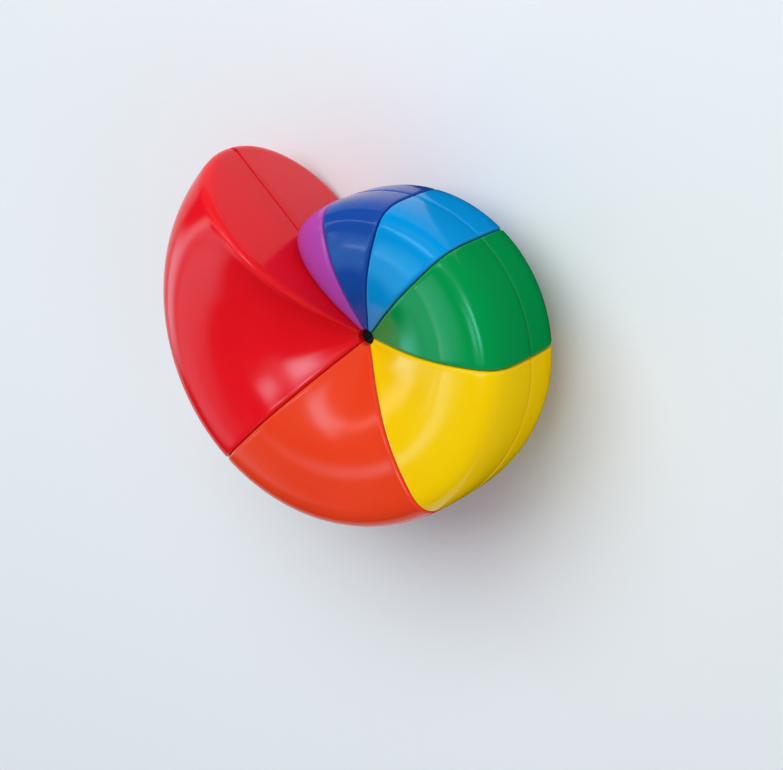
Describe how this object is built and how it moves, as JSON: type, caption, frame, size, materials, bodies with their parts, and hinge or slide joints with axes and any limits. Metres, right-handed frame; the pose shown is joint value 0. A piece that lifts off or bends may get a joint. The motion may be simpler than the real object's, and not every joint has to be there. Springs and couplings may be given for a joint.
{
  "type": "spiral shell twisty puzzle",
  "caption": "Nautilus-shaped twisty puzzle: coloured wedge pieces in a front and a back layer that turn round one axis, and a half that flips over.",
  "frame": {"origin": "where the turning axes cross, in the plane between the two layers", "axes": "+Z along the turning axis, out of the front layer; +Y towards the lip of the mouth; wedge angles run from +Y towards +X"},
  "size_m": [0.0852, 0.0996, 0.05],
  "materials": {
    "purple_plastic": "gloss",
    "dark_blue_plastic": "gloss",
    "light_blue_plastic": "gloss",
    "green_plastic": "gloss",
    "yellow_plastic": "gloss",
    "orange_plastic": "gloss",
    "red_plastic": "gloss",
    "core_plastic": "moulded, satin",
    "foot_plastic": "moulded, satin",
    "core_steel": "zinc plated",
    "spring_steel": "drawn wire"
  },
  "bodies": {
    "core_fixed": {"core_half_fixed": "core_plastic", "core_screw": "core_steel", "core_washer": "core_steel", "core_spring": "spring_steel"},
    "core_flip": {"core_half_flip": "core_plastic"},
    "front_fixed_side": {"front_green_shell": "green_plastic", "front_green_foot": "foot_plastic", "front_yellow_shell": "yellow_plastic", "front_yellow_foot": "foot_plastic", "front_orange_shell": "orange_plastic", "front_orange_foot": "foot_plastic"},
    "front_flip_side": {"front_purple_shell": "purple_plastic", "front_purple_foot": "foot_plastic", "front_dark_blue_shell": "dark_blue_plastic", "front_dark_blue_foot": "foot_plastic", "front_light_blue_shell": "light_blue_plastic", "front_light_blue_foot": "foot_plastic", "front_red_shell": "red_plastic", "front_red_foot": "foot_plastic"},
    "back_fixed_side": {"back_green_shell": "green_plastic", "back_green_foot": "foot_plastic", "back_yellow_shell": "yellow_plastic", "back_yellow_foot": "foot_plastic", "back_orange_shell": "orange_plastic", "back_orange_foot": "foot_plastic"},
    "back_flip_side": {"back_purple_shell": "purple_plastic", "back_purple_foot": "foot_plastic", "back_dark_blue_shell": "dark_blue_plastic", "back_dark_blue_foot": "foot_plastic", "back_light_blue_shell": "light_blue_plastic", "back_light_blue_foot": "foot_plastic", "back_red_shell": "red_plastic", "back_red_foot": "foot_plastic"}
  },
  "joints": [
    {"name": "half_flip", "type": "hinge", "parent": "core_fixed", "child": "core_flip", "pos_m": [0, 0, 0], "axis": [0, 1, 0], "range_deg": [0, 180]},
    {"name": "front_turn", "type": "hinge", "parent": "core_fixed", "child": "front_fixed_side", "pos_m": [0, 0, 0], "axis": [0, 0, 1], "range_deg": [-180, 180]},
    {"name": "front_turn_flip_side", "type": "hinge", "parent": "core_flip", "child": "front_flip_side", "pos_m": [0, 0, 0], "axis": [0, 0, 1], "range_deg": [-180, 180]},
    {"name": "back_turn", "type": "hinge", "parent": "core_fixed", "child": "back_fixed_side", "pos_m": [0, 0, 0], "axis": [0, 0, 1], "range_deg": [-180, 180]},
    {"name": "back_turn_flip_side", "type": "hinge", "parent": "core_flip", "child": "back_flip_side", "pos_m": [0, 0, 0], "axis": [0, 0, 1], "range_deg": [-180, 180]}
  ],
  "couplings": [
    {"joint": "front_turn_flip_side", "follows": "front_turn", "ratio": 1},
    {"joint": "back_turn_flip_side", "follows": "back_turn", "ratio": 1}
  ]
}
